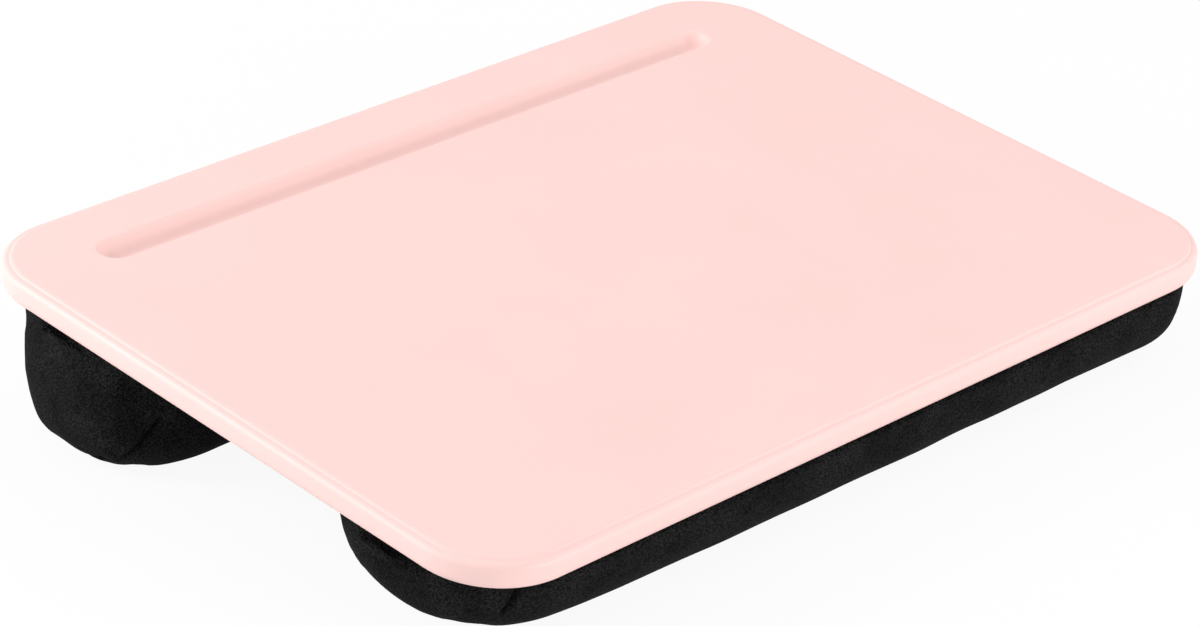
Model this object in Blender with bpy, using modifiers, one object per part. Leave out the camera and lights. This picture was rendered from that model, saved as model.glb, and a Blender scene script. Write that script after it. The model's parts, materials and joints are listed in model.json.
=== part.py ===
"""Lap desk: a moulded plastic panel with a pen groove, on two stuffed cloth bolsters.

Metres, +Z up. Every piece is modelled in the panel's own frame, with X along the front edge, Y towards
the back and the origin at the middle of the top face. The assembly then leans, back edge up, until
both bolsters stand on the floor at Z = 0.
"""

import math
from dataclasses import dataclass

import bmesh
import bpy
from mathutils import Matrix, Vector

MM = 0.001

# Panel: outline, edge and pen groove
PANEL_LENGTH = 375 * MM
PANEL_WIDTH = 274 * MM
CORNER_RADIUS = 32 * MM
BOTTOM_ROUND = 4.1 * MM
LEDGE_ROUND = 2.2 * MM
LEDGE_WIDTH = 0.4 * MM
STEP_DROP = 0.9 * MM
STEP_DRAFT = 0.4 * MM
STEP_ROUND = 0.5 * MM
GROOVE_LENGTH = 305 * MM
GROOVE_WIDTH = 15 * MM
GROOVE_DEPTH = 5 * MM
GROOVE_FROM_BACK = 32.6 * MM

# Panel: what lies underneath
SKIN = 2.4 * MM
GROOVE_SKIN = 1.8 * MM
RIM_WIDTH = 4.6 * MM
FLANGE_WIDTH = 6 * MM
RIB_THICKNESS = 1.6 * MM
RIB_SHORTFALL = 0.3 * MM
RIB_MARGIN = 22 * MM
RIB_COLUMNS = 7
RIB_ROWS = 3
BOSS_RADIUS = 4 * MM

# Board, cloth and screws
BOARD_THICKNESS = 2.8 * MM
CLOTH_THICKNESS = 1.0 * MM
BOARD_EDGE_CLEARANCE = 0.4 * MM
SCREW_RADIUS = 1.5 * MM
SCREW_LENGTH = 6.4 * MM
SCREW_TIP = 1.2 * MM
SCREW_CLEARANCE = 0.2 * MM
HEAD_RADIUS = 2.8 * MM
HEAD_SINK = 0.3 * MM

# Bolsters: the front one's filling lies fuller and squarer towards its right end
END_INSET = 2.8 * MM
FRONT_INSET = 2.3 * MM
BACK_INSET = 5 * MM
REAR_BOLSTER_WIDTH = 91.6 * MM
REAR_BOLSTER_DEPTH = 53.2 * MM
REAR_END_RADIUS = 40 * MM
REAR_END_TAPER = 46 * MM
REAR_END_FULLNESS = 5.9
REAR_GIRTH_FULLNESS = 3.6
FRONT_BOLSTER_WIDTH = 95.8 * MM
FRONT_BOLSTER_DEPTH = 35.6 * MM
FRONT_LEFT_RADIUS = 36 * MM
FRONT_LEFT_TAPER = 167 * MM
FRONT_LEFT_FULLNESS = 4.5
FRONT_LEFT_GIRTH_FULLNESS = 2.2
FRONT_RIGHT_RADIUS = 31.4 * MM
FRONT_RIGHT_TAPER = 22.6 * MM
FRONT_RIGHT_FULLNESS = 5
FRONT_RIGHT_GIRTH_FULLNESS = 2.8
NOSE_WIDTH = 8 * MM
WRAP_THICKNESS = 1.2 * MM
HEM_WIDTH = 9 * MM
SEAM_FROM_END = 15 * MM
SEAM_DIP = 0.9 * MM
SEAM_DIP_REACH = 6 * MM
FILL_CLEARANCE = 0.4 * MM
FLOOR_FLAT = 0.5 * MM

# Gaps and cuts
GAP = 0.3 * MM
OVERRUN = 2 * MM

# Fineness of the round shapes, as counts
CORNER_SEGMENTS = 8
ROUND_SEGMENTS = 3
STEP_SEGMENTS = 2
HOLE_SIDES = 12
BOSS_SIDES = 16
GROOVE_SIDES = 16
GROOVE_RINGS = 9
GIRTH_SEGMENTS = 16
WRAP_STATIONS = 17
END_STATIONS = 7
TILT_STEPS = 40
SMOOTH_BELOW = math.radians(35)

# Levels below the top face
BOARD_SEAT = -GROOVE_DEPTH - GROOVE_SKIN
BOARD_TOP = BOARD_SEAT - GAP
BOARD_BOTTOM = BOARD_TOP - BOARD_THICKNESS
CLOTH_TOP = BOARD_BOTTOM - GAP
CLOTH_BOTTOM = CLOTH_TOP - CLOTH_THICKNESS
PANEL_BOTTOM = CLOTH_BOTTOM
BOLSTER_TOP = CLOTH_BOTTOM - GAP

GROOVE_Y = PANEL_WIDTH / 2 - GROOVE_FROM_BACK
TROUGH_WIDTH = GROOVE_WIDTH + 2 * GROOVE_SKIN
BOARD_INSET = RIM_WIDTH + BOARD_EDGE_CLEARANCE
POCKET_INSET = RIM_WIDTH + FLANGE_WIDTH


@dataclass
class End:
    """How a bolster rounds off at one end: in plan, in depth, and how square its girth is there."""

    radius: float
    taper: float
    fullness: float
    girth_fullness: float

    def shrunk(self, by):
        return End(self.radius - by, self.taper - by, self.fullness, self.girth_fullness)


@dataclass
class Bolster:
    """A stuffed tube along X, whose two ends round off each in its own way."""

    name: str
    middle: float
    half_width: float
    depth: float
    left: End
    right: End
    half_length: float = PANEL_LENGTH / 2 - END_INSET

    @property
    def seam(self):
        return self.half_length - SEAM_FROM_END

    def shrunk(self, by):
        """The same form, this much smaller all round, as the filling inside the cloth."""
        return Bolster(
            self.name,
            self.middle,
            self.half_width - by,
            self.depth - by,
            self.left.shrunk(by),
            self.right.shrunk(by),
            self.half_length - by,
        )

    def size_at(self, x, seam):
        """Half width and depth at a place along the tube, drawn in where the end panel is sewn on."""
        end = self.left if x < 0 else self.right
        into_corner = max(0, abs(x) - self.half_length + end.radius)
        into_taper = max(0, abs(x) - self.half_length + end.taper) / end.taper
        corner_height = math.sqrt(max(0, end.radius**2 - into_corner**2))
        half_width = self.half_width - end.radius + corner_height
        left_of_depth = max(0, 1 - into_taper**end.fullness)
        depth = self.depth * left_of_depth ** (1 / end.fullness)
        dip = SEAM_DIP * math.exp(-(((abs(x) - seam) / SEAM_DIP_REACH) ** 2))
        return half_width - min(dip, half_width / 2), depth - min(dip, depth / 2)

    def section_point(self, x, angle, seam):
        """A point of the outer surface: the angle runs from the back side, under, to the front side."""
        half_width, depth = self.size_at(x, seam)
        share = (x / self.half_length + 1) / 2
        fullness = self.left.girth_fullness * (1 - share) + self.right.girth_fullness * share
        across, down = math.cos(angle), math.sin(angle)
        y = math.copysign(abs(across) ** (2 / fullness), across) * half_width
        return Vector((x, y, -depth * abs(down) ** (2 / fullness)))

    def lowest(self, tilt):
        """Height of the tube's lowest line when the panel leans by this much, from its top face."""
        heights = []
        for step in range(GIRTH_SEGMENTS + 1):
            point = self.section_point(0, math.pi * step / GIRTH_SEGMENTS, self.seam)
            y = self.middle + point.y
            z = BOLSTER_TOP + point.z
            heights.append(y * math.sin(tilt) + z * math.cos(tilt))
        return min(heights)


def rear_bolster():
    widest = (REAR_BOLSTER_WIDTH - NOSE_WIDTH) / 2
    radius = min(REAR_END_RADIUS, widest)
    end = End(radius, REAR_END_TAPER, REAR_END_FULLNESS, REAR_GIRTH_FULLNESS)
    return Bolster(
        "rear_bolster",
        PANEL_WIDTH / 2 - BACK_INSET - REAR_BOLSTER_WIDTH / 2,
        REAR_BOLSTER_WIDTH / 2,
        REAR_BOLSTER_DEPTH,
        end,
        end,
    )


def front_bolster():
    widest = (FRONT_BOLSTER_WIDTH - NOSE_WIDTH) / 2
    left_radius = min(FRONT_LEFT_RADIUS, widest)
    right_radius = min(FRONT_RIGHT_RADIUS, widest)
    return Bolster(
        "front_bolster",
        -PANEL_WIDTH / 2 + FRONT_INSET + FRONT_BOLSTER_WIDTH / 2,
        FRONT_BOLSTER_WIDTH / 2,
        FRONT_BOLSTER_DEPTH,
        End(left_radius, FRONT_LEFT_TAPER, FRONT_LEFT_FULLNESS, FRONT_LEFT_GIRTH_FULLNESS),
        End(right_radius, FRONT_RIGHT_TAPER, FRONT_RIGHT_FULLNESS, FRONT_RIGHT_GIRTH_FULLNESS),
    )


def resting_tilt(rear, front):
    """The lean at which both bolsters reach equally low, found by halving the interval."""
    low, high = -math.pi / 4, math.pi / 4
    for _ in range(TILT_STEPS):
        middle = (low + high) / 2
        if rear.lowest(middle) < front.lowest(middle):
            low = middle
        else:
            high = middle
    return (low + high) / 2


def srgb(hex_colour):
    """A hex colour as the linear values that a shader takes."""
    values = [int(hex_colour[i : i + 2], 16) / 255 for i in (1, 3, 5)]
    return [v / 12.92 if v <= 0.04045 else ((v + 0.055) / 1.055) ** 2.4 for v in values] + [1]


def make_material(name, hex_colour, roughness, metallic=0):
    made = bpy.data.materials.new(name)
    made.use_nodes = True
    shader = made.node_tree.nodes["Principled BSDF"]
    shader.inputs["Base Color"].default_value = srgb(hex_colour)
    shader.inputs["Roughness"].default_value = roughness
    shader.inputs["Metallic"].default_value = metallic
    made.diffuse_color = srgb(hex_colour)
    return made


def make_object(name, shape, collection, material=None, place=(0, 0, 0), root=None):
    """A named object from a bmesh, which is freed."""
    mesh = bpy.data.meshes.new(name)
    shape.to_mesh(mesh)
    shape.free()
    made = bpy.data.objects.new(name, mesh)
    made.location = place
    made.parent = root
    collection.objects.link(made)
    if material:
        mesh.materials.append(material)
        mesh.shade_smooth()
        mesh.set_sharp_from_angle(angle=SMOOTH_BELOW)
    else:
        made.hide_render = True
        made.display_type = "WIRE"
    return made


def combine(target, group, operation):
    """A live Boolean with every object of a collection."""
    boolean = target.modifiers.new(group.name, "BOOLEAN")
    boolean.operation = operation
    boolean.operand_type = "COLLECTION"
    boolean.collection = group
    boolean.solver = "EXACT"


def level_edges(shape, height):
    slack = GAP / 10
    return [e for e in shape.edges if all(abs(v.co.z - height) < slack for v in e.verts)]


def box(length, width, bottom, top):
    """A plain block between two levels, centred on Z."""
    shape = bmesh.new()
    bmesh.ops.create_cube(shape, size=1)
    bmesh.ops.scale(shape, vec=(length, width, top - bottom), verts=shape.verts)
    bmesh.ops.translate(shape, vec=(0, 0, (top + bottom) / 2), verts=shape.verts)
    return shape


def rounded_slab(length, width, corner, bottom, top):
    """A block with round upright edges."""
    shape = box(length, width, bottom, top)
    upright = [e for e in shape.edges if e.verts[0].co.xy == e.verts[1].co.xy]
    bmesh.ops.bevel(
        shape,
        geom=upright,
        offset=corner,
        segments=CORNER_SEGMENTS,
        profile=0.5,
        affect="EDGES",
    )
    return shape


def panel_slab(inset, bottom, top):
    """A block with the panel's outline, this far inside its edge."""
    length = PANEL_LENGTH - 2 * inset
    width = PANEL_WIDTH - 2 * inset
    return rounded_slab(length, width, CORNER_RADIUS - inset, bottom, top)


def peg(radius, bottom, top, sides, top_radius=None):
    """An upright cylinder, or a cone where its top has another radius."""
    shape = bmesh.new()
    bmesh.ops.create_cone(
        shape,
        cap_ends=True,
        segments=sides,
        radius1=radius,
        radius2=radius if top_radius is None else top_radius,
        depth=top - bottom,
    )
    bmesh.ops.translate(shape, vec=(0, 0, (top + bottom) / 2), verts=shape.verts)
    return shape


def capsule(length, width, depth):
    """A round-ended bar along X, as wide as its groove and twice as tall as the groove is deep.

    The level of the top face falls midway between two rings, so the cut leaves clean edges.
    """
    shape = bmesh.new()
    bmesh.ops.create_uvsphere(shape, u_segments=GROOVE_SIDES, v_segments=GROOVE_RINGS, radius=1)
    slack = 1 / GROOVE_SIDES**2
    waist = [e for e in shape.edges if all(abs(v.co.x) < slack for v in e.verts)]
    bmesh.ops.split_edges(shape, edges=waist)
    straight = (length - width) / 2
    reach = width / 2 / math.cos(math.pi / (2 * GROOVE_RINGS))
    for vert in shape.verts:
        centre_x = sum(f.calc_center_median().x for f in vert.link_faces)
        vert.co.x = vert.co.x * reach + math.copysign(straight, centre_x)
        vert.co.y *= reach
        vert.co.z *= depth
    bmesh.ops.bridge_loops(shape, edges=[e for e in shape.edges if e.is_boundary])
    bmesh.ops.recalc_face_normals(shape, faces=shape.faces)
    return shape


def rib_lines():
    """Where the ribs stand: evenly between the margins of the pocket, and clear of the groove."""
    side = PANEL_LENGTH / 2 - POCKET_INSET - RIB_MARGIN
    front = -PANEL_WIDTH / 2 + POCKET_INSET + RIB_MARGIN
    back = GROOVE_Y - TROUGH_WIDTH / 2 - RIB_MARGIN
    columns = [-side + 2 * side * i / (RIB_COLUMNS - 1) for i in range(RIB_COLUMNS)]
    rows = [front + (back - front) * i / (RIB_ROWS - 1) for i in range(RIB_ROWS)]
    return columns, rows


def screw_places():
    """A screw at every other rib of the first and last row, and two in each row between them."""
    columns, rows = rib_lines()
    places = []
    for row in rows:
        chosen = columns[::2] if row in (rows[0], rows[-1]) else (columns[1], columns[-2])
        places += [(column, row) for column in chosen]
    return places


def make_top_shell(parts, cutters, root, plastic):
    """The moulded panel: a stepped, rounded rim outside, and a ribbed hollow underneath."""
    shape = panel_slab(0, PANEL_BOTTOM, -STEP_DROP)
    for height, radius in ((PANEL_BOTTOM, BOTTOM_ROUND), (-STEP_DROP, LEDGE_ROUND)):
        bmesh.ops.bevel(
            shape,
            geom=level_edges(shape, height),
            offset=radius,
            segments=ROUND_SEGMENTS,
            profile=0.5,
            affect="EDGES",
        )
    top = max(shape.faces, key=lambda face: face.calc_center_median().z)
    bmesh.ops.inset_region(shape, faces=[top], thickness=LEDGE_WIDTH, use_even_offset=True)
    bmesh.ops.inset_region(
        shape, faces=[top], thickness=STEP_DRAFT, depth=STEP_DROP, use_even_offset=True
    )
    bmesh.ops.bevel(
        shape,
        geom=level_edges(shape, 0),
        offset=STEP_ROUND,
        segments=STEP_SEGMENTS,
        profile=0.5,
        affect="EDGES",
    )
    shell = make_object("top_shell", shape, parts, plastic, root=root)

    hollows = bpy.data.collections.new("shell_hollows")
    stiffeners = bpy.data.collections.new("shell_stiffeners")
    openings = bpy.data.collections.new("shell_openings")
    for group in (hollows, stiffeners, openings):
        cutters.children.link(group)

    seat = panel_slab(RIM_WIDTH, PANEL_BOTTOM - OVERRUN, BOARD_SEAT)
    make_object("board_recess", seat, hollows, root=root)
    pocket = panel_slab(POCKET_INSET, BOARD_SEAT - OVERRUN, -SKIN)
    make_object("rib_pocket", pocket, hollows, root=root)

    columns, rows = rib_lines()
    rib_bottom = BOARD_SEAT + RIB_SHORTFALL
    rib_top = -SKIN / 2
    front = -PANEL_WIDTH / 2 + RIM_WIDTH + FLANGE_WIDTH / 2
    long_rib = PANEL_LENGTH - 2 * RIM_WIDTH - FLANGE_WIDTH
    short_rib = GROOVE_Y - front
    for number, x in enumerate(columns, 1):
        rib = box(RIB_THICKNESS, short_rib, rib_bottom, rib_top)
        place = (x, front + short_rib / 2, 0)
        make_object(f"rib_across_{number}", rib, stiffeners, place=place, root=root)
    for number, y in enumerate(rows, 1):
        rib = box(long_rib, RIB_THICKNESS, rib_bottom, rib_top)
        make_object(f"rib_along_{number}", rib, stiffeners, place=(0, y, 0), root=root)
    trough = capsule(GROOVE_LENGTH + 2 * GROOVE_SKIN, TROUGH_WIDTH, -BOARD_SEAT)
    cut = bmesh.ops.bisect_plane(
        trough,
        geom=trough.verts[:] + trough.edges[:] + trough.faces[:],
        plane_co=(0, 0, rib_top),
        plane_no=(0, 0, 1),
        clear_outer=True,
    )
    bmesh.ops.contextual_create(
        trough, geom=[e for e in cut["geom_cut"] if isinstance(e, bmesh.types.BMEdge)]
    )
    make_object("groove_trough", trough, stiffeners, place=(0, GROOVE_Y, 0), root=root)
    for number, (x, y) in enumerate(screw_places(), 1):
        boss = peg(BOSS_RADIUS, BOARD_SEAT, rib_top, BOSS_SIDES)
        make_object(f"boss_{number:02}", boss, stiffeners, place=(x, y, 0), root=root)

    groove = capsule(GROOVE_LENGTH, GROOVE_WIDTH, GROOVE_DEPTH)
    make_object("pen_groove", groove, openings, place=(0, GROOVE_Y, 0), root=root)
    hole_top = BOARD_BOTTOM + SCREW_LENGTH + SCREW_CLEARANCE
    for number, (x, y) in enumerate(screw_places(), 1):
        hole = peg(SCREW_RADIUS + SCREW_CLEARANCE, BOARD_SEAT - OVERRUN, hole_top, HOLE_SIDES)
        make_object(f"pilot_hole_{number:02}", hole, openings, place=(x, y, 0), root=root)

    combine(shell, hollows, "DIFFERENCE")
    combine(shell, stiffeners, "UNION")
    combine(shell, openings, "DIFFERENCE")


def make_base_board(parts, cutters, root, hardboard):
    """The board in the shell's recess, with a countersunk hole for every screw."""
    shape = panel_slab(BOARD_INSET, BOARD_BOTTOM, BOARD_TOP)
    board = make_object("base_board", shape, parts, hardboard, root=root)
    holes = bpy.data.collections.new("board_holes")
    cutters.children.link(holes)
    shank = SCREW_RADIUS + SCREW_CLEARANCE
    head = HEAD_RADIUS + SCREW_CLEARANCE + HEAD_SINK
    cone_top = BOARD_BOTTOM + head - shank
    for number, (x, y) in enumerate(screw_places(), 1):
        hole = peg(shank, BOARD_BOTTOM - OVERRUN, BOARD_TOP + OVERRUN, HOLE_SIDES)
        make_object(f"board_hole_{number:02}", hole, holes, place=(x, y, 0), root=root)
        below = head + OVERRUN
        sink = peg(below, BOARD_BOTTOM - OVERRUN, cone_top, HOLE_SIDES, top_radius=shank)
        make_object(f"countersink_{number:02}", sink, holes, place=(x, y, 0), root=root)
    combine(board, holes, "DIFFERENCE")


def make_base_cloth(parts, root, cloth):
    """The cloth sheet over the board's underside, which covers the screws."""
    shape = panel_slab(BOARD_INSET, CLOTH_BOTTOM, CLOTH_TOP)
    make_object("base_cloth", shape, parts, cloth, root=root)


def make_screws(parts, root, steel):
    """Countersunk screws, each a turned profile from the tip's axis down to the head's axis."""
    shoulder = HEAD_RADIUS - SCREW_RADIUS
    profile = (
        (0, SCREW_LENGTH),
        (SCREW_RADIUS, SCREW_LENGTH - SCREW_TIP),
        (SCREW_RADIUS, HEAD_SINK + shoulder),
        (HEAD_RADIUS, HEAD_SINK),
        (0, HEAD_SINK),
    )
    mesh = bpy.data.meshes.new("board_screw")
    edges = [(i, i + 1) for i in range(len(profile) - 1)]
    mesh.from_pydata([(x, 0, z) for x, z in profile], edges, [])
    mesh.materials.append(steel)
    for number, (x, y) in enumerate(screw_places(), 1):
        screw = bpy.data.objects.new(f"board_screw_{number:02}", mesh)
        screw.location = (x, y, BOARD_BOTTOM)
        screw.parent = root
        parts.objects.link(screw)
        turn = screw.modifiers.new("turn", "SCREW")
        turn.steps = HOLE_SIDES
        turn.render_steps = HOLE_SIDES
        turn.use_merge_vertices = True
        turn.merge_threshold = GAP / 10


def bolster_sheet(bolster, stations, seam, hem=0):
    """The outer surface between two stations as an open sheet, with a hem turned in along its top."""
    hems = 1 if hem else 0
    across = GIRTH_SEGMENTS + 2 * hems
    along = len(stations) - 1
    sheet = bmesh.new()
    bmesh.ops.create_grid(sheet, x_segments=along, y_segments=across, size=1)
    for vert in sheet.verts:
        x = stations[round((vert.co.x + 1) / 2 * along)]
        step = round((vert.co.y + 1) / 2 * across) - hems
        inside = min(max(step, 0), GIRTH_SEGMENTS)
        vert.co = bolster.section_point(x, math.pi * inside / GIRTH_SEGMENTS, seam)
        if step != inside:
            vert.co.y -= math.copysign(hem, vert.co.y)
    return sheet


def wrap_stations(reach):
    """Places along the wrap, closer together towards its seams."""
    steps = (WRAP_STATIONS - 1) / 2
    return [reach * math.sin(math.pi / 2 * (i - steps) / steps) for i in range(WRAP_STATIONS)]


def end_stations(bolster, end, start):
    """Distances along the tube from the seam to the tip, evenly round the end's arc in plan."""
    first = math.asin(1 - (bolster.half_length - start) / end.radius)
    turn = math.pi / 2 - first
    angles = [first + turn * i / (END_STATIONS - 1) for i in range(END_STATIONS)]
    inner = bolster.half_length - end.radius
    return [inner + end.radius * math.sin(angle) for angle in angles]


def thicken(piece):
    solidify = piece.modifiers.new("cloth", "SOLIDIFY")
    solidify.thickness = WRAP_THICKNESS
    solidify.offset = -1
    solidify.use_even_offset = True


def make_bolster(bolster, parts, cutters, root, cloth, beads):
    """A sewn cloth tube: the wrap, its two end panels, and the filling that holds them out."""
    place = (0, bolster.middle, BOLSTER_TOP)
    seam = bolster.seam

    outside_wrap = bpy.data.collections.new(f"outside_{bolster.name}_wrap")
    outside_ends = bpy.data.collections.new(f"outside_{bolster.name}_ends")
    for group in (outside_wrap, outside_ends):
        cutters.children.link(group)
    outside_wrap.objects.link(cutters.objects["floor"])
    wide, low, high = bolster.half_width * 2 + OVERRUN, -bolster.depth - OVERRUN, OVERRUN
    between = box(2 * seam + GAP, wide, low, high)
    make_object(f"{bolster.name}_middle", between, outside_ends, place=place, root=root)
    for side in (-1, 1):
        beyond = box(SEAM_FROM_END, wide, low, high)
        x = side * (seam - GAP / 2 + SEAM_FROM_END / 2)
        spot = (x, bolster.middle, BOLSTER_TOP)
        make_object(f"{bolster.name}_beyond_seam", beyond, outside_wrap, place=spot, root=root)

    reach = wrap_stations(seam) + [seam + OVERRUN]
    sheet = bolster_sheet(bolster, [-reach[-1]] + reach, seam, HEM_WIDTH)
    wrap = make_object(f"{bolster.name}_wrap", sheet, parts, cloth, place, root)
    thicken(wrap)
    combine(wrap, outside_wrap, "DIFFERENCE")

    left = [-x for x in reversed(end_stations(bolster, bolster.left, seam))] + [OVERRUN - seam]
    right = [seam - OVERRUN] + end_stations(bolster, bolster.right, seam)
    for side, stations in (("left", left), ("right", right)):
        sheet = bolster_sheet(bolster, stations, seam)
        end = make_object(f"{bolster.name}_{side}_end", sheet, parts, cloth, place, root)
        thicken(end)
        combine(end, outside_ends, "DIFFERENCE")

    inner = bolster.shrunk(WRAP_THICKNESS + FILL_CLEARANCE)
    left_tip = [-x for x in reversed(end_stations(inner, inner.left, seam))]
    right_tip = end_stations(inner, inner.right, seam)
    stations = left_tip + wrap_stations(seam)[1:-1] + right_tip
    fill = bolster_sheet(inner, stations, seam)
    cut = bmesh.ops.bisect_plane(
        fill,
        geom=fill.verts[:] + fill.edges[:] + fill.faces[:],
        plane_co=(0, 0, -WRAP_THICKNESS - FILL_CLEARANCE),
        plane_no=(0, 0, 1),
        clear_outer=True,
    )
    rim = [e for e in cut["geom_cut"] if isinstance(e, bmesh.types.BMEdge)]
    bmesh.ops.contextual_create(fill, geom=rim)
    bmesh.ops.recalc_face_normals(fill, faces=fill.faces)
    make_object(f"{bolster.name}_fill", fill, parts, beads, place, root)


def centre_depth(parts, root):
    """Shifts the assembly along Y until its box is centred on the origin."""
    bpy.context.view_layer.update()
    graph = bpy.context.evaluated_depsgraph_get()
    depths = []
    for piece in parts.objects:
        if piece.type == "MESH":
            seen = piece.evaluated_get(graph)
            depths += [(seen.matrix_world @ vert.co).y for vert in seen.data.vertices]
    root.location.y -= (min(depths) + max(depths)) / 2


def main():
    for old in list(bpy.data.objects):
        bpy.data.objects.remove(old, do_unlink=True)
    parts = bpy.data.collections.new("lap_desk")
    cutters = bpy.data.collections.new("cutters")
    for group in (parts, cutters):
        bpy.context.scene.collection.children.link(group)

    plastic = make_material("moulded_plastic", "#F8CFC9", 0.42)
    cloth = make_material("black_cloth", "#1C1C1D", 0.95)
    hardboard = make_material("hardboard", "#7A5A3C", 0.8)
    beads = make_material("bead_filling", "#EDEDE8", 0.9)
    steel = make_material("zinc_plated_steel", "#B9BCBE", 0.35, 1)

    rear, front = rear_bolster(), front_bolster()
    tilt = resting_tilt(rear, front)
    root = bpy.data.objects.new("lap_desk_root", None)
    root.rotation_euler.x = tilt
    root.location.z = -rear.lowest(tilt) - FLOOR_FLAT
    parts.objects.link(root)

    under_floor = -REAR_BOLSTER_DEPTH
    floor = box(PANEL_LENGTH + OVERRUN, 2 * PANEL_WIDTH, under_floor, 0)
    make_object("floor", floor, cutters)

    make_top_shell(parts, cutters, root, plastic)
    make_base_board(parts, cutters, root, hardboard)
    make_base_cloth(parts, root, cloth)
    make_screws(parts, root, steel)
    for bolster in (rear, front):
        make_bolster(bolster, parts, cutters, root, cloth, beads)
    centre_depth(parts, root)


main()
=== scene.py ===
"""The looks of a lap desk: a moulded plastic panel with a pen groove, on two stuffed cloth bolsters.

Metres, +Z up. The pieces are modelled in the panel's own frame, with X along the front edge, Y towards the
back and the origin at the middle of the top face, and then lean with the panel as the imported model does.
"""

import json
import math
from collections import namedtuple

import bmesh
import bpy
import numpy as np
from mathutils import Matrix, Vector, noise


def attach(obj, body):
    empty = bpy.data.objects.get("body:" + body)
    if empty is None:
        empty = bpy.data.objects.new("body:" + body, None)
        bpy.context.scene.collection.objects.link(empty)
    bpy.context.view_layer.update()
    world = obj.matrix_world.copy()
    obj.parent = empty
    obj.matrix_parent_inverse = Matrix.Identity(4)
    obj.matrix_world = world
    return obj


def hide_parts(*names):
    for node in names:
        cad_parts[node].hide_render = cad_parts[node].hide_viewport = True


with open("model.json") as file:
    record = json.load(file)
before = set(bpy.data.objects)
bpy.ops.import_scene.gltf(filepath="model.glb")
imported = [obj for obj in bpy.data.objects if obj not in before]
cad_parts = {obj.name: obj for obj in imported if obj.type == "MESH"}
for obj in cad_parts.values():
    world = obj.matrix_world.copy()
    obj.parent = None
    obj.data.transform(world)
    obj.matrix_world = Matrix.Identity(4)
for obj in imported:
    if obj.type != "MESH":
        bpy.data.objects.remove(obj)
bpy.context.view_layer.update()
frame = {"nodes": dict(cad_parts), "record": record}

MM = 0.001

# Camera, solved from the panel's outline in the photograph, in the panel's frame
IMAGE_WIDTH = 1200
FOCAL_PIXELS = 4157
SENSOR_WIDTH = 36
CAMERA_PLACE = (-0.95839, -0.9086, 0.71678)
CAMERA_DIRECTION = (0.630568, 0.60062, -0.491568)

# Panel edge, from the outside in, and the pen groove
CORNER_RADIUS = 32 * MM
BOTTOM_ROUND = 4.1 * MM
LEDGE_ROUND = 2.4 * MM
STEP_DROP = 0.9 * MM
STEP_WIDTH = 2.1 * MM
STEP_FOOT_SHARE = 0.28
GROOVE_LENGTH = 306 * MM
GROOVE_WIDTH = 15.8 * MM
GROOVE_DEPTH = 5 * MM
GROOVE_FROM_BACK = 32.6 * MM
GROOVE_LIP_SHARE = 0.16
GROOVE_SKIN = 1.8 * MM
SKIN = 2.4 * MM
RIM_WIDTH = 4.6 * MM
FLANGE_WIDTH = 6 * MM
FLAT_MARGIN = 1.2 * MM

# Bolsters; the front one's filling lies fuller and squarer towards its right end, and the cloth's nap
# stands a little proud of the form. Each end has the round of its corners seen from above, the length
# over which the bolster gets shallower towards it and how squarely it does so, the squareness of its
# girth, and how far it is tucked in where it meets the panel and how far down that reaches.
End = namedtuple("End", "radius taper fullness girth_fullness tuck tuck_reach")
REAR_DEPTH = 53.2 * MM
REAR_PROUD = 0.5 * MM
REAR_END = End(40 * MM, 46 * MM, 5.9, 3.6, 1.3 * MM, 18 * MM)
FRONT_DEPTH = 35.6 * MM
FRONT_PROUD = 0.6 * MM
FRONT_LEFT_END = End(36 * MM, 167 * MM, 4.5, 2.2, 1.6 * MM, 32 * MM)
FRONT_RIGHT_END = End(31.4 * MM, 22.6 * MM, 5, 2.8, 2.2 * MM, 7 * MM)

# Seams round the bolsters' ends. At its level below the bolster's top a seam runs SEAM_FROM_END inside
# the end, and for each length further down it slants outwards by its slant. The crease along a seam has
# CREASE_SHARE of CREASE_DEPTH, and more or less where the cloth puckers, between the least and the most.
Seam = namedtuple("Seam", "slant level")
REAR_SEAM = Seam(0.42, 27.3 * MM)
FRONT_SEAM = Seam(0.14, 20 * MM)
SEAM_FROM_END = 15 * MM
SEAM_DIP = 0.2 * MM
SEAM_DIP_REACH = 6 * MM
CREASE_DEPTH = 1.6 * MM
CREASE_REACH = 0.75 * MM
CREASE_SHARE = 0.4
CREASE_SWING = 4
LEAST_CREASE = 0.1
MOST_CREASE = 1.7
PUCKER_HEIGHT = 0.4 * MM
PUCKER_REACH = 5 * MM
PUCKER_SPACING = 7 * MM
PUCKER_PLACE = 173.5
LUMP_HEIGHT = 0.35 * MM
LUMP_SPACING = 22 * MM

# Stuffing the bolsters by cloth simulation
GRID_ALONG = 96
GRID_AROUND = 64
VOXEL = 5 * MM
SWELL = 0.3 * MM
SWELL_LIMIT = 1 * MM
PRESSURE = 1.2
POINT_MASS = 0.004
CLOTH_STIFFNESS = 150
CLOTH_BENDING = 0.2
SEAM_SHRINK = 0.015
LAST_MOMENT = 20
EVEN_STEPS = 16
SETTLE_STEPS = 4
LONGEST_STEP = 1 * MM
FLATTEST_SLOPE = 1
LEAST_DEPTH = 1 * MM
WELD = 0.05 * MM
TINY = 0.001 * MM

# Fineness
CORNER_SEGMENTS = 24
ROUND_STEPS = 10
CURVE_STEPS = 6
GROOVE_SIDES = 96
GROOVE_STEPS = 12
CLOTH_LEVELS = 2
SMOOTH_BELOW = math.radians(40)
SMOOTH_ALL_OVER = math.pi

# How far from a seam the cloth's faces are halved once, and then once more
SEAM_BANDS = (2.4 * CREASE_REACH, 1.8 * CREASE_REACH)

# A face or a point looks up or down when the upright part of its normal is past this
FACING_UP = 0.95
FACING_DOWN = -0.9

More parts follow.
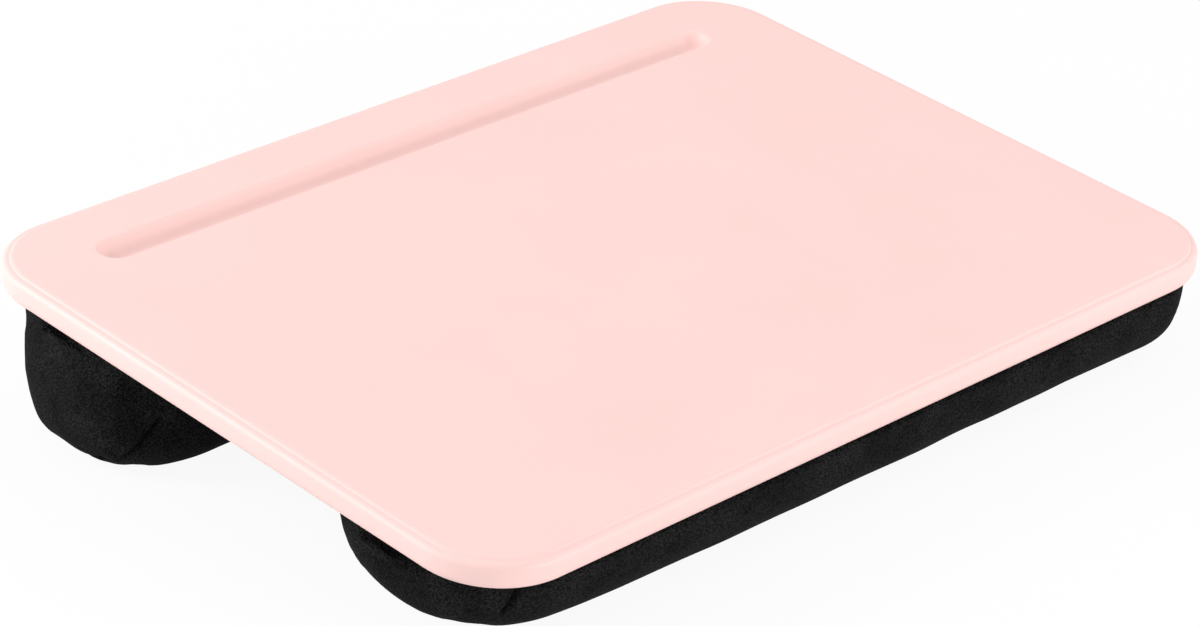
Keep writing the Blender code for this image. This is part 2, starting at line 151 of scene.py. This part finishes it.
# Floor and light; of the paper in the picture this share is plain white, and the rest takes the shadow
FLOOR_SIZE = 8
FLOOR_DROP = 0.1 * MM
WHITE_SHARE = 0.93
ROOM_STRENGTH = 0.635
Softbox = namedtuple("Softbox", "name place size power")
SOFTBOXES = (
    Softbox("left_back_softbox", (-1.05, 0.9, 0.85), 0.6, 13.6),
    Softbox("low_back_softbox", (-1.2, 1.1, 0.3), 0.6, 1.7),
    Softbox("front_softbox", (0.25, -1.5, 0.35), 0.7, 7.8),
    Softbox("right_softbox", (0.95, -0.6, 0.95), 0.35, 3),
)

# Sockets of a Mix node for colours, by number because its other kinds have sockets of the same names
SHARE = 0
ONE_COLOUR = 6
OTHER_COLOUR = 7
MIXED_COLOUR = 2


def linear(hex_colour):
    """An sRGB hex colour as the linear values that a shader takes."""
    values = [int(hex_colour[i : i + 2], 16) / 255 for i in (1, 3, 5)]
    return [v / 12.92 if v <= 0.04045 else ((v + 0.055) / 1.055) ** 2.4 for v in values] + [1]


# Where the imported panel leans, and how large its pieces are in its own frame

surface = next(mount for mount in frame["record"]["mounts"] if mount["name"] == "work_surface")
lean = math.atan2(-surface["axis"][1], surface["axis"][2])
PANEL_FRAME = Matrix.Translation(surface["pos_m"]) @ Matrix.Rotation(lean, 4, "X")


def leaning_box(*nodes):
    """Lowest and highest corner of some CAD nodes in the panel's frame."""
    to_panel = PANEL_FRAME.inverted()
    points = [to_panel @ vert.co for name in nodes for vert in frame["nodes"][name].data.vertices]
    low = Vector([min(point[axis] for point in points) for axis in range(3)])
    high = Vector([max(point[axis] for point in points) for axis in range(3)])
    return low, high


panel_low, panel_high = leaning_box("top_shell")
GROOVE_Y = panel_high.y - GROOVE_FROM_BACK


# Modelling helpers

def new_piece(name):
    """An empty mesh object at the origin, the only one selected, in edit mode."""
    if bpy.context.object and bpy.context.object.mode == "EDIT":
        bpy.ops.object.mode_set(mode="OBJECT")
    bpy.ops.object.select_all(action="DESELECT")
    piece = bpy.data.objects.new(name, bpy.data.meshes.new(name))
    bpy.context.scene.collection.objects.link(piece)
    bpy.context.view_layer.objects.active = piece
    piece.select_set(True)
    bpy.ops.object.mode_set(mode="EDIT")
    return piece


def select_only(piece, kind, wanted):
    """Selects the faces or edges of the piece in edit mode that are wanted, and nothing else."""
    bpy.ops.mesh.select_mode(type=kind)
    bpy.ops.mesh.select_all(action="DESELECT")
    shape = bmesh.from_edit_mesh(piece.data)
    for part in shape.faces if kind == "FACE" else shape.edges:
        part.select_set(wanted(part))
    shape.select_flush_mode()
    bmesh.update_edit_mesh(piece.data)


def rounded_face(inset, height):
    """Adds a face with the panel's outline, this far inside its edge, and selects it alone."""
    bpy.ops.mesh.select_all(action="DESELECT")
    bpy.ops.mesh.primitive_plane_add(size=1, location=(0, 0, height))
    length = panel_high.x - panel_low.x - 2 * inset
    width = panel_high.y - panel_low.y - 2 * inset
    bpy.ops.transform.resize(value=(length, width, 1))
    bpy.ops.mesh.bevel(
        affect="VERTICES",
        offset=CORNER_RADIUS - inset,
        segments=CORNER_SEGMENTS,
        profile=0.5,
        clamp_overlap=False,
    )


def stadium_face(piece, length, width, height):
    """Adds a round-ended face along the groove, by drawing the halves of a disc apart, and selects it."""
    bpy.ops.mesh.select_all(action="DESELECT")
    bpy.ops.mesh.primitive_circle_add(
        vertices=GROOVE_SIDES,
        radius=width / 2,
        fill_type="NGON",
        location=(0, GROOVE_Y, height),
        rotation=(0, 0, math.pi / GROOVE_SIDES),
    )
    shape = bmesh.from_edit_mesh(piece.data)
    for vert in shape.verts:
        if vert.select:
            vert.co.x += math.copysign((length - width) / 2, vert.co.x)
    bmesh.update_edit_mesh(piece.data)


def follow(profile):
    """Insets the selected face ring by ring, so that its edge follows points of (inset, rise)."""
    for (inset, rise), (next_inset, next_rise) in zip(profile, profile[1:]):
        bpy.ops.mesh.inset(
            thickness=next_inset - inset, depth=next_rise - rise, use_even_offset=True
        )


def quarter_round(radius):
    """A convex quarter circle from an upright wall to a level face, as points of (inset, rise)."""
    angles = [math.pi / 2 * step / ROUND_STEPS for step in range(ROUND_STEPS + 1)]
    return [(radius * (1 - math.cos(angle)), radius * math.sin(angle)) for angle in angles]


def s_curve(width, drop, first_share, steps):
    """Two arcs that meet smoothly and join level faces, as points of (inset, rise)."""
    turn = 2 * math.atan(abs(drop) / width)
    radii = width / math.sin(turn)
    first, second = radii * first_share, radii * (1 - first_share)
    sign = math.copysign(1, drop)
    points = []
    for step in range(steps + 1):
        angle = turn * step / steps
        points.append((first * math.sin(angle), sign * first * (1 - math.cos(angle))))
    for step in range(1, steps + 1):
        angle = turn * (1 - step / steps)
        inset = width - second * math.sin(angle)
        points.append((inset, drop - sign * second * (1 - math.cos(angle))))
    return points


def shifted(profile, inset, rise):
    """The same profile, begun at another place."""
    return [(across + inset, up + rise) for across, up in profile]


def finish_piece(piece, material, smooth_below=SMOOTH_BELOW):
    """Leans a piece with the panel, paints it, shades it and lets it ride."""
    if piece.mode == "EDIT":
        bpy.ops.object.mode_set(mode="OBJECT")
    piece.data.transform(PANEL_FRAME)
    piece.data.materials.clear()
    piece.data.materials.append(material)
    bpy.ops.object.select_all(action="DESELECT")
    bpy.context.view_layer.objects.active = piece
    piece.select_set(True)
    bpy.ops.object.shade_smooth_by_angle(angle=smooth_below)
    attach(piece, "root")


# Materials

def fill_sockets(material, node, inputs):
    """Gives each named socket its value, or links it to the output that feeds it."""
    for socket, value in inputs.items():
        if isinstance(value, bpy.types.NodeSocket):
            material.node_tree.links.new(value, node.inputs[socket])
        else:
            node.inputs[socket].default_value = value


def add_node(material, kind, inputs=None, output=0, **properties):
    """Adds a node with its settings and links, and gives back the output that is wanted, if it has any."""
    made = material.node_tree.nodes.new(kind)
    for name, value in properties.items():
        setattr(made, name, value)
    fill_sockets(material, made, inputs or {})
    return made.outputs[output] if made.outputs else None


def new_material(name):
    """A material with its shader, and the Object coordinates that its patterns read."""
    made = bpy.data.materials.new(name)
    made.use_nodes = True
    shader = made.node_tree.nodes["Principled BSDF"]
    place = add_node(made, "ShaderNodeTexCoord", output="Object")
    return made, shader, place


def pink_moulded_abs():
    """ABS, injection moulded in a finely spark-eroded tool: a soft matt skin with an even, milky pink."""
    made, shader, place = new_material("pink_moulded_abs")
    # The real grain is about 0.1 mm; it is drawn at 0.5 mm so that it shows
    grain = add_node(
        made, "ShaderNodeTexNoise", {"Vector": place, "Scale": 1 / (0.5 * MM), "Detail": 3}
    )
    flow = add_node(
        made, "ShaderNodeTexNoise", {"Vector": place, "Scale": 1 / (60 * MM), "Detail": 2}
    )
    share = add_node(made, "ShaderNodeMapRange", {"Value": flow, "From Min": 0.3, "From Max": 0.7})
    tint = add_node(
        made,
        "ShaderNodeMix",
        {SHARE: share, ONE_COLOUR: linear("#FCD5D0"), OTHER_COLOUR: linear("#FBD3CE")},
        output=MIXED_COLOUR,
        data_type="RGBA",
    )
    gloss = add_node(
        made,
        "ShaderNodeMapRange",
        {"Value": grain, "From Min": 0.3, "From Max": 0.7, "To Min": 0.44, "To Max": 0.52},
    )
    bump = add_node(
        made, "ShaderNodeBump", {"Height": grain, "Distance": 0.02 * MM, "Strength": 0.35}
    )
    look = {"Base Color": tint, "Roughness": gloss, "Normal": bump, "IOR": 1.53}
    fill_sockets(made, shader, look)
    return made


def black_brushed_polyester():
    """Polyester cloth with a brushed face: a deep black fleck of short nap that takes almost no shine."""
    made, shader, place = new_material("black_brushed_polyester")
    # The real nap is about 0.2 mm; it is drawn at 0.7 mm so that it shows
    nap = add_node(
        made,
        "ShaderNodeTexNoise",
        {"Vector": place, "Scale": 1 / (0.7 * MM), "Detail": 2, "Roughness": 0.6},
    )
    rubbed = add_node(
        made, "ShaderNodeTexNoise", {"Vector": place, "Scale": 1 / (16 * MM), "Detail": 3}
    )
    bloom = add_node(made, "ShaderNodeMapRange", {"Value": rubbed, "From Min": 0.35, "From Max": 0.65})
    fleck = add_node(made, "ShaderNodeMapRange", {"Value": nap, "From Min": 0.42, "From Max": 0.62})
    dark = add_node(
        made,
        "ShaderNodeMix",
        {SHARE: bloom, ONE_COLOUR: linear("#060607"), OTHER_COLOUR: linear("#0D0D0E")},
        output=MIXED_COLOUR,
        data_type="RGBA",
    )
    light = add_node(
        made,
        "ShaderNodeMix",
        {SHARE: bloom, ONE_COLOUR: linear("#1F1F20"), OTHER_COLOUR: linear("#2B2B2C")},
        output=MIXED_COLOUR,
        data_type="RGBA",
    )
    colour = add_node(
        made,
        "ShaderNodeMix",
        {SHARE: fleck, ONE_COLOUR: dark, OTHER_COLOUR: light},
        output=MIXED_COLOUR,
        data_type="RGBA",
    )
    bump = add_node(
        made, "ShaderNodeBump", {"Height": nap, "Distance": 0.3 * MM, "Strength": 0.7}
    )
    look = {
        "Base Color": colour,
        "Normal": bump,
        "Roughness": 0.95,
        "IOR": 1.45,
        "Specular IOR Level": 0.05,
        "Sheen Weight": 0.01,
        "Sheen Roughness": 0.5,
    }
    fill_sockets(made, shader, look)
    return made


def bare_hardboard():
    """Pressed wood fibre: dull brown, flecked with darker and lighter fibres."""
    made, shader, place = new_material("bare_hardboard")
    fibres = add_node(
        made,
        "ShaderNodeTexNoise",
        {"Vector": place, "Scale": 1 / (1.2 * MM), "Detail": 5, "Roughness": 0.7},
    )
    share = add_node(made, "ShaderNodeMapRange", {"Value": fibres, "From Min": 0.3, "From Max": 0.7})
    colour = add_node(
        made,
        "ShaderNodeMix",
        {SHARE: share, ONE_COLOUR: linear("#5E4028"), OTHER_COLOUR: linear("#8A6643")},
        output=MIXED_COLOUR,
        data_type="RGBA",
    )
    bump = add_node(
        made, "ShaderNodeBump", {"Height": fibres, "Distance": 0.1 * MM, "Strength": 0.4}
    )
    fill_sockets(made, shader, {"Base Color": colour, "Normal": bump, "Roughness": 0.8})
    return made


def zinc_plated_steel():
    """Steel screws, zinc plated: a cool grey metal with a slightly uneven shine."""
    made, shader, place = new_material("zinc_plated_steel")
    plating = add_node(
        made, "ShaderNodeTexNoise", {"Vector": place, "Scale": 1 / (0.8 * MM), "Detail": 2}
    )
    gloss = add_node(
        made,
        "ShaderNodeMapRange",
        {"Value": plating, "From Min": 0.3, "From Max": 0.7, "To Min": 0.28, "To Max": 0.42},
    )
    fill_sockets(made, shader, {"Base Color": linear("#B9BCBE"), "Metallic": 1, "Roughness": gloss})
    return made


# The moulded panel

def make_panel(plastic):
    """The stepped, rounded shell: outside, pen groove, and the recess underneath that takes the board."""
    panel = new_piece("moulded_panel")
    thickness = panel_high.z - panel_low.z
    wall = thickness - BOTTOM_ROUND - LEDGE_ROUND - STEP_DROP
    rounded_face(0, panel_low.z + BOTTOM_ROUND)
    bpy.ops.mesh.extrude_region_move(TRANSFORM_OT_translate={"value": (0, 0, wall)})
    ledge = quarter_round(LEDGE_ROUND)
    step = s_curve(STEP_WIDTH, STEP_DROP, STEP_FOOT_SHARE, CURVE_STEPS)
    step = shifted(step, LEDGE_ROUND, LEDGE_ROUND)
    level_edge = (step[-1][0] + FLAT_MARGIN, step[-1][1])
    follow(ledge + step[1:] + [level_edge])
    bpy.ops.mesh.delete(type="ONLY_FACE")

    lip_width = GROOVE_WIDTH + 2 * FLAT_MARGIN
    stadium_face(panel, GROOVE_LENGTH + 2 * FLAT_MARGIN, lip_width, panel_high.z)
    bowl = s_curve(GROOVE_WIDTH / 2, -GROOVE_DEPTH, GROOVE_LIP_SHARE, GROOVE_STEPS)[:-1]
    follow([(0, 0)] + shifted(bowl, FLAT_MARGIN, 0))
    select_only(panel, "EDGE", lambda edge: edge.is_boundary)
    bpy.ops.mesh.fill()

    select_only(panel, "FACE", lambda face: face.normal.z < FACING_DOWN)
    foot = quarter_round(BOTTOM_ROUND)
    follow(foot + [(RIM_WIDTH, foot[-1][1])])
    seat = -GROOVE_DEPTH - GROOVE_SKIN
    up = seat - panel_low.z
    bpy.ops.mesh.extrude_region_move(TRANSFORM_OT_translate={"value": (0, 0, up)})
    bpy.ops.mesh.inset(thickness=FLANGE_WIDTH, use_even_offset=True)
    up = -SKIN - seat
    bpy.ops.mesh.extrude_region_move(TRANSFORM_OT_translate={"value": (0, 0, up)})
    bpy.ops.mesh.delete(type="ONLY_FACE")

    trough_width = GROOVE_WIDTH + 2 * GROOVE_SKIN
    stadium_face(panel, GROOVE_LENGTH + 2 * GROOVE_SKIN, trough_width, -SKIN)
    bpy.ops.mesh.flip_normals()
    trough_drop = SKIN - GROOVE_DEPTH - GROOVE_SKIN
    trough = s_curve(trough_width / 2, trough_drop, GROOVE_LIP_SHARE, GROOVE_STEPS)
    follow([(inset, -rise) for inset, rise in trough[:-1]])
    select_only(panel, "EDGE", lambda edge: edge.is_boundary)
    bpy.ops.mesh.fill()
    bpy.ops.mesh.select_all(action="SELECT")
    bpy.ops.mesh.normals_make_consistent(inside=False)
    finish_piece(panel, plastic)
    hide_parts("top_shell")


# The cloth under the panel

def make_underside_cloth(cloth):
    """The cloth stretched over the board's underside, with its edge rolled in beside the rim."""
    low, high = leaning_box("base_cloth")
    piece = new_piece("underside_cloth")
    inset = (panel_high.x - panel_low.x - (high.x - low.x)) / 2
    roll = (high.z - low.z) / 2
    rounded_face(inset, low.z + roll)
    bpy.ops.mesh.extrude_region_move(TRANSFORM_OT_translate={"value": (0, 0, roll)})
    select_only(piece, "FACE", lambda face: face.normal.z < FACING_DOWN)
    follow(quarter_round(roll) + [(FLAT_MARGIN + roll, roll)])
    finish_piece(piece, cloth)
    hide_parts("base_cloth")


# The bolsters

class Bolster:
    """A stuffed tube along X, whose two ends round off each in its own way; sizes in the panel's frame."""

    def __init__(self, name, depth, proud, left, right, seam):
        self.name = name
        cloth_nodes = [f"{name}_{part}" for part in ("wrap", "left_end", "right_end")]
        self.nodes = cloth_nodes + [f"{name}_fill"]
        low, high = leaning_box(*cloth_nodes)
        self.middle = (low.y + high.y) / 2
        self.half_width = (high.y - low.y) / 2
        self.half_length = (high.x - low.x) / 2
        self.top = high.z
        self.depth = depth
        self.proud = proud
        self.left = left
        self.right = right
        self.seam = seam

    def end_values(self, what, x):
        """A value of the left or the right end, whichever each place along the tube belongs to."""
        return np.where(x < 0, getattr(self.left, what), getattr(self.right, what))

    def sizes_at(self, x):
        """Half width, depth and squareness of the girth at places along the tube, all as arrays."""
        wanted = ("radius", "taper", "fullness")
        radius, taper, fullness = [self.end_values(what, x) for what in wanted]
        short_of_end = np.maximum(0, self.half_length - np.abs(x))
        into_corner = np.maximum(0, radius - short_of_end)
        into_taper = np.maximum(0, taper - short_of_end) / taper
        half_width = self.half_width - radius + np.sqrt(radius**2 - into_corner**2)
        depth = self.depth * (1 - into_taper**fullness) ** (1 / fullness)
        share = (x / self.half_length + 1) / 2
        girth = self.left.girth_fullness * (1 - share) + self.right.girth_fullness * share
        return half_width, depth, girth

    def beyond(self, points):
        """How far points lie outside the form, as a share of its size there; inside it is negative."""
        half_width, depth, girth = self.sizes_at(points[:, 0])
        across = np.abs(points[:, 1] - self.middle) / half_width
        down = np.maximum(0, self.top - points[:, 2]) / np.maximum(depth, LEAST_DEPTH)
        return (across**girth + down**girth) ** (1 / girth) - 1

    def past_dip(self, points):
        """How far points lie past the middle of the dip beside the nearer end, along the tube."""
        return np.abs(points[:, 0]) - self.half_length + SEAM_FROM_END

    def past_seam(self, points):
        """How far points lie past the nearer end's slanting seam, along the tube."""
        below = self.top - points[:, 2]
        return self.past_dip(points) - self.seam.slant * (below - self.seam.level)

    def tuck(self, points):
        """How far the cloth is tucked in at points, if they face along the tube."""
        depth, reach = [self.end_values(what, points[:, 0]) for what in ("tuck", "tuck_reach")]
        return depth * np.exp(-(((self.top - points[:, 2]) / reach) ** 2))


def read_points(mesh, what="co"):
    """All places, or all normals, of a mesh as rows of three."""
    values = np.zeros(len(mesh.vertices) * 3, np.float32)
    if what == "co":
        mesh.vertices.foreach_get("co", values)
    else:
        mesh.vertex_normals.foreach_get("vector", values)
    return values.reshape(-1, 3).astype(float)


def write_points(mesh, points):
    """Moves all points of a mesh to new places, given as rows of three."""
    mesh.vertices.foreach_set("co", points.astype(np.float32).ravel())
    mesh.update()


def rough_bolster(bolster):
    """The bolster's smooth closed form, from a grid that is drawn round it and then remeshed evenly."""
    piece = new_piece(f"{bolster.name}_cushion")
    bpy.ops.mesh.primitive_grid_add(x_subdivisions=GRID_ALONG, y_subdivisions=GRID_AROUND, size=2)
    bpy.ops.object.mode_set(mode="OBJECT")
    # Both of the grid's directions run from -1 to 1
    grid = read_points(piece.data)
    along = bolster.half_length * np.sin(math.pi / 2 * grid[:, 0])
    angle = math.pi * (grid[:, 1] + 1) / 2
    half_width, depth, girth = bolster.sizes_at(along)
    across, down = np.cos(angle), np.sin(angle)
    y = bolster.middle + np.sign(across) * np.abs(across) ** (2 / girth) * half_width
    z = bolster.top - np.abs(down) ** (2 / girth) * depth
    write_points(piece.data, np.column_stack((along, y, z)))
    bpy.ops.object.mode_set(mode="EDIT")
    select_only(piece, "EDGE", lambda edge: edge.is_boundary)
    bpy.ops.mesh.edge_face_add()
    bpy.ops.mesh.select_all(action="SELECT")
    bpy.ops.mesh.remove_doubles(threshold=WELD)
    bpy.ops.mesh.normals_make_consistent(inside=False)
    bpy.ops.object.mode_set(mode="OBJECT")
    remesh = piece.modifiers.new("even", "REMESH")
    remesh.mode = "VOXEL"
    remesh.voxel_size = VOXEL
    bpy.ops.object.modifier_apply(modifier=remesh.name)
    return piece


def evened(mesh, field):
    """A field on the points of a mesh, spread step by step to their neighbours."""
    ends = np.zeros(len(mesh.edges) * 2, np.int32)
    mesh.edges.foreach_get("vertices", ends)
    one, other = ends.reshape(-1, 2).T
    for _ in range(EVEN_STEPS):
        total = field.copy()
        count = np.ones(len(field))
        for here, there in ((one, other), (other, one)):
            np.add.at(total, here, field[there])
            np.add.at(count, here, 1)
        field = total / count[:, None]
    return field


def stuff(piece, bolster):
    """Fills the cloth until it swells, while its end seams hold it in, and notes how far each point went.

    The measured form already has the broad part of the swell, so only what is left beside it counts,
    and no point may move far.
    """
    before = read_points(piece.data)
    by_seam = np.flatnonzero(np.abs(bolster.past_dip(before)) < VOXEL)
    sewn = piece.vertex_groups.new(name="sewn")
    sewn.add([int(index) for index in by_seam], 1, "REPLACE")
    write_points(piece.data, before - SWELL * read_points(piece.data, "normal"))
    start = read_points(piece.data)
    stuffing = piece.modifiers.new("stuffing", "CLOTH")
    settings = stuffing.settings
    settings.use_pressure = True
    settings.uniform_pressure_force = PRESSURE
    settings.effector_weights.gravity = 0
    settings.mass = POINT_MASS
    settings.tension_stiffness = CLOTH_STIFFNESS
    settings.compression_stiffness = CLOTH_STIFFNESS
    settings.bending_stiffness = CLOTH_BENDING
    settings.vertex_group_shrink = sewn.name
    settings.shrink_max = SEAM_SHRINK
    stuffing.point_cache.frame_start = 1
    stuffing.point_cache.frame_end = LAST_MOMENT
    for moment in range(1, LAST_MOMENT + 1):
        bpy.context.scene.frame_set(moment)
    bpy.ops.object.modifier_apply(modifier=stuffing.name)
    bpy.context.scene.frame_set(1)
    swell = read_points(piece.data) - start
    moved = swell - evened(piece.data, swell)
    distance = np.maximum(np.linalg.norm(moved, axis=1), TINY)
    moved *= (SWELL_LIMIT * np.tanh(distance / SWELL_LIMIT) / distance)[:, None]
    write_points(piece.data, before)
    noted = piece.data.attributes.new("swell", "FLOAT_VECTOR", "POINT")
    noted.data.foreach_set("vector", moved.astype(np.float32).ravel())


def refine(piece, bolster):
    """Gives the cloth finer faces, and the finest beside its seams."""
    fine = piece.modifiers.new("fine", "SUBSURF")
    fine.levels = fine.render_levels = CLOTH_LEVELS
    bpy.ops.object.modifier_apply(modifier=fine.name)
    for reach in SEAM_BANDS:
        bpy.ops.object.mode_set(mode="EDIT")
        middles = [face.calc_center_median() for face in bmesh.from_edit_mesh(piece.data).faces]
        near = np.abs(bolster.past_seam(np.array(middles))) < reach
        select_only(piece, "FACE", lambda face: near[face.index])
        bpy.ops.mesh.subdivide(number_cuts=1)
        bpy.ops.object.mode_set(mode="OBJECT")


def settle_on_form(piece, bolster):
    """Moves each point of the cloth straight onto the measured form, and then by its share of the swell.

    The flat top, which lies against the underside of the panel, is left where it is.
    """
    points, normals = read_points(piece.data), read_points(piece.data, "normal")
    outside = normals[:, 2] < FACING_UP
    moving = points[outside]
    for _ in range(SETTLE_STEPS):
        gap = bolster.beyond(moving)
        nearby = [bolster.beyond(moving + TINY * axis) - gap for axis in np.eye(3)]
        slope = np.column_stack(nearby) / TINY
        step = slope * (gap / np.maximum((slope**2).sum(axis=1), FLATTEST_SLOPE))[:, None]
        length = np.maximum(np.linalg.norm(step, axis=1), TINY)
        moving = moving - step * np.minimum(1, LONGEST_STEP / length)[:, None]
    points[outside] = moving
    if "swell" in piece.data.attributes:
        swell = np.zeros(len(points) * 3, np.float32)
        piece.data.attributes["swell"].data.foreach_get("vector", swell)
        points += swell.reshape(-1, 3)
    points[:, 2] = np.minimum(points[:, 2], bolster.top)
    write_points(piece.data, points)


def sew_seams(piece, bolster):
    """Draws the cloth in along both end seams, puckers it across them, and lets the filling show a little.

    The puckers are read from a place in the noise where the deepest fall as in the photograph.
    """
    points, normals = read_points(piece.data), read_points(piece.data, "normal")
    dip = np.exp(-((bolster.past_dip(points) / SEAM_DIP_REACH) ** 2))
    crease = np.exp(-((bolster.past_seam(points) / CREASE_REACH) ** 2))
    beside = np.exp(-((bolster.past_seam(points) / PUCKER_REACH) ** 2))
    pucker = np.array(
        [
            noise.noise((math.copysign(PUCKER_PLACE, x), y / PUCKER_SPACING, z / PUCKER_SPACING))
            for x, y, z in points
        ]
    )
    lump = np.array([noise.noise(Vector(point) / LUMP_SPACING) for point in points])
    share = np.clip(CREASE_SHARE + CREASE_SWING * pucker, LEAST_CREASE, MOST_CREASE)
    inward = SEAM_DIP * dip + CREASE_DEPTH * share * crease
    inward += PUCKER_HEIGHT * pucker * beside + LUMP_HEIGHT * lump
    inward += bolster.tuck(points) * np.abs(normals[:, 0]) - bolster.proud
    points -= normals * inward[:, None]
    points[:, 2] = np.minimum(points[:, 2], bolster.top)
    write_points(piece.data, points)


def press_flat(piece):
    """Keeps every point of a leaning piece on or above the floor."""
    turn = np.array(PANEL_FRAME.to_3x3())
    shift = np.array(PANEL_FRAME.translation)
    stands = read_points(piece.data) @ turn.T + shift
    stands[:, 2] = np.maximum(stands[:, 2], 0)
    write_points(piece.data, (stands - shift) @ turn)


def make_bolster(bolster, cloth):
    """One stuffed cushion, which stands for the bolster's cloth and its filling."""
    piece = rough_bolster(bolster)
    stuff(piece, bolster)
    refine(piece, bolster)
    settle_on_form(piece, bolster)
    sew_seams(piece, bolster)
    press_flat(piece)
    finish_piece(piece, cloth, SMOOTH_ALL_OVER)
    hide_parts(*bolster.nodes)


# Floor, light and camera

def plainly_seen(owner):
    """Nodes that give 1 where the picture, a reflection or a view through glass sees this, else 0."""
    camera_ray = add_node(owner, "ShaderNodeLightPath", output="Is Camera Ray")
    seen = camera_ray
    for kind in ("Is Glossy Ray", "Is Transmission Ray"):
        ray = camera_ray.node.outputs[kind]
        seen = add_node(owner, "ShaderNodeMath", {0: seen, 1: ray}, operation="MAXIMUM")
    return seen


def make_stage():
    """A floor of white paper that looks plain white and still keeps the object's shadow."""
    bpy.ops.object.select_all(action="DESELECT")
    bpy.ops.mesh.primitive_plane_add(size=FLOOR_SIZE, location=(0, 0, -FLOOR_DROP))
    floor = bpy.context.object
    floor.name = "floor"
    paper = bpy.data.materials.new("white_paper_sweep")
    paper.use_nodes = True
    paper.node_tree.nodes.clear()
    seen = plainly_seen(paper)
    share = add_node(paper, "ShaderNodeMath", {0: seen, 1: WHITE_SHARE}, operation="MULTIPLY")
    matt = add_node(paper, "ShaderNodeBsdfDiffuse", {"Color": linear("#F6F6F6")})
    white = add_node(paper, "ShaderNodeEmission", {"Color": linear("#FFFFFF"), "Strength": 1})
    both = add_node(paper, "ShaderNodeMixShader", {0: share, 1: matt, 2: white})
    add_node(paper, "ShaderNodeOutputMaterial", {"Surface": both})
    floor.data.materials.append(paper)


def add_softbox(softbox):
    """A square studio lamp that faces the middle of the object."""
    light = bpy.data.lights.new(softbox.name, "AREA")
    light.shape = "SQUARE"
    light.size = softbox.size
    light.energy = softbox.power
    lamp = bpy.data.objects.new(softbox.name, light)
    lamp.location = softbox.place
    lamp.rotation_euler = (-Vector(softbox.place)).to_track_quat("-Z", "Y").to_euler()
    bpy.context.scene.collection.objects.link(lamp)


def light_scene():
    """A pale room and four softboxes, in front of a plain white backdrop."""
    world = bpy.data.worlds.new("white_studio")
    world.use_nodes = True
    bpy.context.scene.world = world
    world.node_tree.nodes.clear()
    seen = plainly_seen(world)
    white = linear("#FFFFFF")
    room = add_node(world, "ShaderNodeBackground", {"Color": white, "Strength": ROOM_STRENGTH})
    backdrop = add_node(world, "ShaderNodeBackground", {"Color": white, "Strength": 1})
    both = add_node(world, "ShaderNodeMixShader", {0: seen, 1: room, 2: backdrop})
    add_node(world, "ShaderNodeOutputWorld", {"Surface": both})
    for softbox in SOFTBOXES:
        add_softbox(softbox)
    bpy.context.scene.view_settings.view_transform = "Standard"


def make_camera():
    """The photograph's camera, which leans with the panel that it was solved from."""
    lens = bpy.data.cameras.new("photo_camera")
    lens.sensor_fit = "HORIZONTAL"
    lens.sensor_width = SENSOR_WIDTH
    lens.lens = FOCAL_PIXELS / IMAGE_WIDTH * SENSOR_WIDTH
    camera = bpy.data.objects.new("photo_camera", lens)
    camera.location = PANEL_FRAME @ Vector(CAMERA_PLACE)
    toward = PANEL_FRAME.to_3x3() @ Vector(CAMERA_DIRECTION)
    camera.rotation_euler = toward.to_track_quat("-Z", "Y").to_euler()
    bpy.context.scene.collection.objects.link(camera)
    bpy.context.scene.camera = camera


def repaint(nodes, material):
    """Gives CAD nodes that stay in view their finish."""
    for name in nodes:
        mesh = frame["nodes"][name].data
        mesh.materials.clear()
        mesh.materials.append(material)


make_camera()
light_scene()
make_stage()

plastic = pink_moulded_abs()
cloth = black_brushed_polyester()
repaint(["base_board"], bare_hardboard())
screws = [name for name in frame["nodes"] if name.startswith("board_screw")]
repaint(screws, zinc_plated_steel())

make_panel(plastic)
make_underside_cloth(cloth)
rear_ends = (REAR_END, REAR_END)
make_bolster(Bolster("rear_bolster", REAR_DEPTH, REAR_PROUD, *rear_ends, REAR_SEAM), cloth)
front_ends = (FRONT_LEFT_END, FRONT_RIGHT_END)
make_bolster(Bolster("front_bolster", FRONT_DEPTH, FRONT_PROUD, *front_ends, FRONT_SEAM), cloth)
